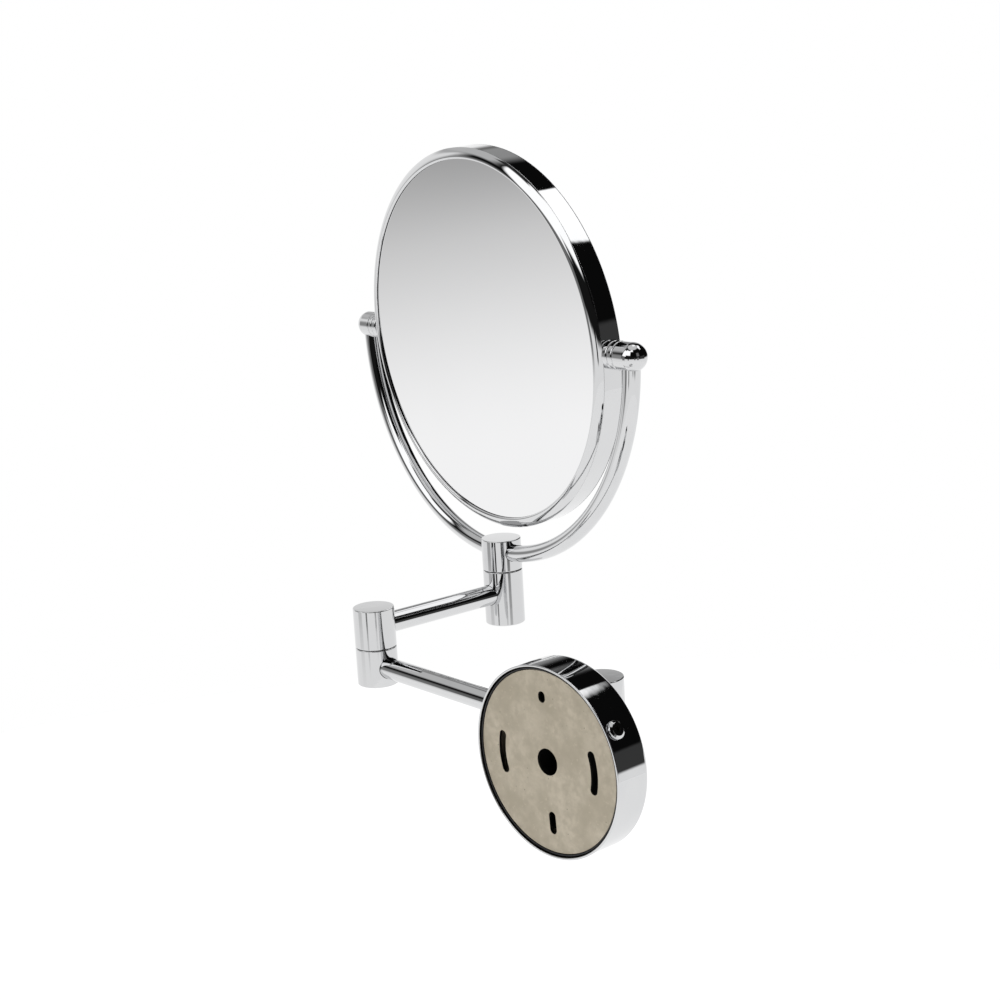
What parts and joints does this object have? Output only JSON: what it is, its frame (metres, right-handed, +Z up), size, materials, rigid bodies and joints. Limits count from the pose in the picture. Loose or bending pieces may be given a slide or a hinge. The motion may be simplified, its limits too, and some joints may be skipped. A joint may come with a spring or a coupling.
{
  "type": "extendable shaving mirror",
  "caption": "Round two-sided shaving mirror that tips in a half-ring yoke on folding swing arms, hinged to a round wall plate.",
  "frame": {"origin": "centre of the wall plate's back, in the plane of the wall", "axes": "+Y into the wall, +Z up, +X to the right seen from the room; the mirror stands on the -Y side"},
  "size_m": [0.3265, 0.1473, 0.3025],
  "materials": {
    "chrome": "polished chrome plate",
    "disc_steel": "mottled passivated zinc steel",
    "bolt_steel": "bright plated steel",
    "nylon": "natural nylon",
    "black_rubber": "matt",
    "mirror_glass": "silvered glass",
    "grey_plastic": "moulded",
    "felt": "felt"
  },
  "bodies": {
    "wall_plate": {"wall_cover": "chrome", "mounting_disc": "disc_steel", "rim_gasket": "black_rubber", "cover_lock_screw": "bolt_steel", "cover_lock_nut": "bolt_steel", "wall_bracket": "chrome", "bracket_screw_upper": "bolt_steel", "bracket_screw_lower": "bolt_steel", "wall_hinge_bolt": "bolt_steel", "wall_hinge_spring_washer": "bolt_steel", "wall_hinge_cap": "chrome"},
    "lower_arm": {"lower_arm_wall_barrel": "chrome", "wall_hinge_bush_upper": "nylon", "wall_hinge_bush_lower": "nylon", "lower_arm_tube": "chrome", "lower_arm_elbow_barrel": "chrome", "elbow_bolt": "bolt_steel", "elbow_spring_washer": "bolt_steel", "elbow_cap": "chrome", "elbow_friction_washer": "nylon"},
    "upper_arm": {"upper_arm_elbow_barrel": "chrome", "upper_arm_tube": "chrome", "upper_arm_mirror_barrel": "chrome", "yoke_hinge_bolt": "bolt_steel", "yoke_hinge_spring_washer": "bolt_steel", "yoke_hinge_cap": "chrome", "yoke_friction_washer": "nylon"},
    "yoke": {"yoke_hub": "chrome", "yoke_rod_right": "chrome", "yoke_boss_right": "chrome", "collar_ring_outer_right": "chrome", "yoke_rod_left": "chrome", "yoke_boss_left": "chrome", "collar_ring_outer_left": "chrome"},
    "mirror_head": {"rim_band": "chrome", "bezel_plain_side": "chrome", "bezel_magnifying_side": "chrome", "plain_glass": "mirror_glass", "magnifying_glass": "mirror_glass", "glass_spacer_ring": "grey_plastic", "plain_glass_pad": "felt", "trunnion_screw_right": "bolt_steel", "collar_ring_inner_right": "chrome", "trunnion_screw_left": "bolt_steel", "collar_ring_inner_left": "chrome"}
  },
  "joints": [
    {"name": "wall_swing", "type": "hinge", "parent": "wall_plate", "child": "lower_arm", "pos_m": [0, -0.036, 0], "axis": [0, 0, 1], "range_deg": [-184, 8]},
    {"name": "elbow_swing", "type": "hinge", "parent": "lower_arm", "child": "upper_arm", "pos_m": [0.1669, -0.04183, 0], "axis": [0, 0, 1], "range_deg": [-75, 259]},
    {"name": "yoke_swivel", "type": "hinge", "parent": "upper_arm", "child": "yoke", "pos_m": [0.16097, -0.12662, 0], "axis": [0, 0, 1], "continuous": true},
    {"name": "mirror_tilt", "type": "hinge", "parent": "yoke", "child": "mirror_head", "pos_m": [0.16097, -0.12662, 0.1585], "axis": [0.9938, -0.1115, 0], "continuous": true}
  ]
}
